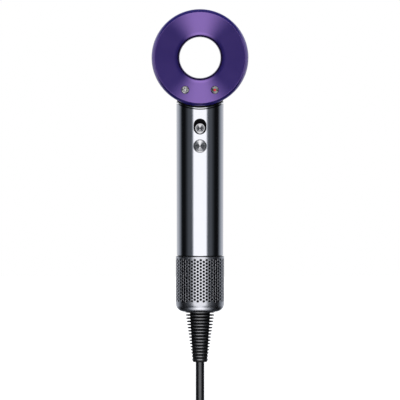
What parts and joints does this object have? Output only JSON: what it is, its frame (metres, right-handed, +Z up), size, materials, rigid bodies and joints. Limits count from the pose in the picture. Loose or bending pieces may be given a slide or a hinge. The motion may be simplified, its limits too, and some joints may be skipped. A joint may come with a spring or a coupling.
{
  "type": "ring-head hair dryer",
  "caption": "Hand-held hair dryer with an open ring head, straight metal tube handle, perforated filter cage, finned strain relief and a tied mains cord.",
  "frame": {"origin": "middle of the hand grip, on the axis of the handle tube", "axes": "+Z runs up the handle to the head, -Y is the back where the buttons are, +Y is the way the air leaves, +X is to the right seen from the back"},
  "size_m": [0.078, 0.097, 0.597],
  "materials": {
    "satin_purple": "satin purple lacquer with a fine metallic sheen",
    "satin_black_plastic": "satin black",
    "polished_nickel": "polished nickel",
    "spun_metal": "circular spun finish",
    "cage_nickel": "polished nickel, perforated",
    "black_rubber": "smooth matt rubber",
    "cord_rubber": "smooth matt cord sheath",
    "white_ink": "white filled outline",
    "red_lens": "red enamel dot",
    "inner_plastic": "moulded dark grey",
    "board_green": "green solder mask",
    "mica": "pale mica",
    "heating_wire": "oxidised resistance wire",
    "steel": "ground steel",
    "aluminium": "machined",
    "magnet_coating": "plated magnet",
    "steel_lamination": "stacked laminations",
    "foam": "open cell acoustic foam",
    "glass_bead": "clear bead",
    "brass_pins": "plated plug pins",
    "silicone_wire": "red silicone lead",
    "tie_strap": "woven hook and loop tie"
  },
  "bodies": {
    "housing": {"rear_cover": "satin_purple", "barrel_shell": "satin_black_plastic", "bore_liner": "satin_purple", "outlet_ring": "satin_black_plastic", "attachment_magnets": "magnet_coating", "outlet_funnel": "inner_plastic", "heater_former": "mica", "heater_coil": "heating_wire", "mica_sleeve": "mica", "thermal_fuse": "aluminium", "thermistor": "glass_bead", "head_circuit_board": "board_green", "airflow_switch": "inner_plastic", "heat_switch": "inner_plastic", "neck_core": "satin_black_plastic", "neck_gasket": "black_rubber", "neck_collar": "polished_nickel", "handle_tube": "polished_nickel", "slider_track": "inner_plastic", "slide_switch": "inner_plastic", "cool_shot_switch": "inner_plastic", "controls_board": "board_green", "power_board": "board_green", "board_capacitor": "aluminium", "heater_lead_left": "silicone_wire", "heater_lead_right": "silicone_wire", "motor_bucket": "aluminium", "lower_motor_mount": "black_rubber", "upper_motor_mount": "black_rubber", "stator": "steel_lamination", "lower_spider": "inner_plastic", "upper_spider": "inner_plastic", "lower_bearing": "steel", "upper_bearing": "steel", "inlet_frame": "inner_plastic", "mesh_filter": "steel", "inlet_foam": "foam", "cord_clamp": "inner_plastic", "clamp_screw_left": "steel", "clamp_screw_right": "steel", "strain_relief": "black_rubber", "cord_lead": "cord_rubber", "cord_hank": "cord_rubber", "cord_tie": "tie_strap", "cord_tail": "cord_rubber", "plug_body": "black_rubber", "plug_pin_left": "brass_pins", "plug_pin_right": "brass_pins"},
    "rotor": {"impeller": "aluminium", "rotor_shaft": "steel", "rotor_magnet": "magnet_coating"},
    "power_slider_knob": {"power_slider": "spun_metal"},
    "cool_shot": {"cool_shot_button": "spun_metal"},
    "airflow_control": {"airflow_button": "spun_metal", "airflow_mark": "white_ink"},
    "heat_control": {"heat_button": "spun_metal", "heat_mark": "red_lens"},
    "lock_ring": {"filter_lock_ring": "inner_plastic"},
    "cage": {"filter_cage": "cage_nickel"}
  },
  "joints": [
    {"name": "rotor_spin", "type": "hinge", "parent": "housing", "child": "rotor", "pos_m": [0, 0, -0.015], "axis": [0, 0, 1], "continuous": true},
    {"name": "power_slide", "type": "slide", "parent": "housing", "child": "power_slider_knob", "axis": [0, 0, 1], "range_m": [0, 0.0026]},
    {"name": "cool_shot_press", "type": "slide", "parent": "housing", "child": "cool_shot", "axis": [0, 1, 0], "range_m": [0, 0.001], "stiffness_N_per_m": 900, "springref_m": -0.0005},
    {"name": "airflow_press", "type": "slide", "parent": "housing", "child": "airflow_control", "axis": [0, 1, 0], "range_m": [0, 0.0006], "stiffness_N_per_m": 1500, "springref_m": -0.0004},
    {"name": "heat_press", "type": "slide", "parent": "housing", "child": "heat_control", "axis": [0, 1, 0], "range_m": [0, 0.0006], "stiffness_N_per_m": 1500, "springref_m": -0.0004},
    {"name": "filter_twist", "type": "hinge", "parent": "housing", "child": "lock_ring", "pos_m": [0, 0, -0.053], "axis": [0, 0, 1], "range_deg": [0, 20]},
    {"name": "filter_pull", "type": "slide", "parent": "lock_ring", "child": "cage", "axis": [0, 0, -1], "range_m": [0, 0.06]}
  ]
}
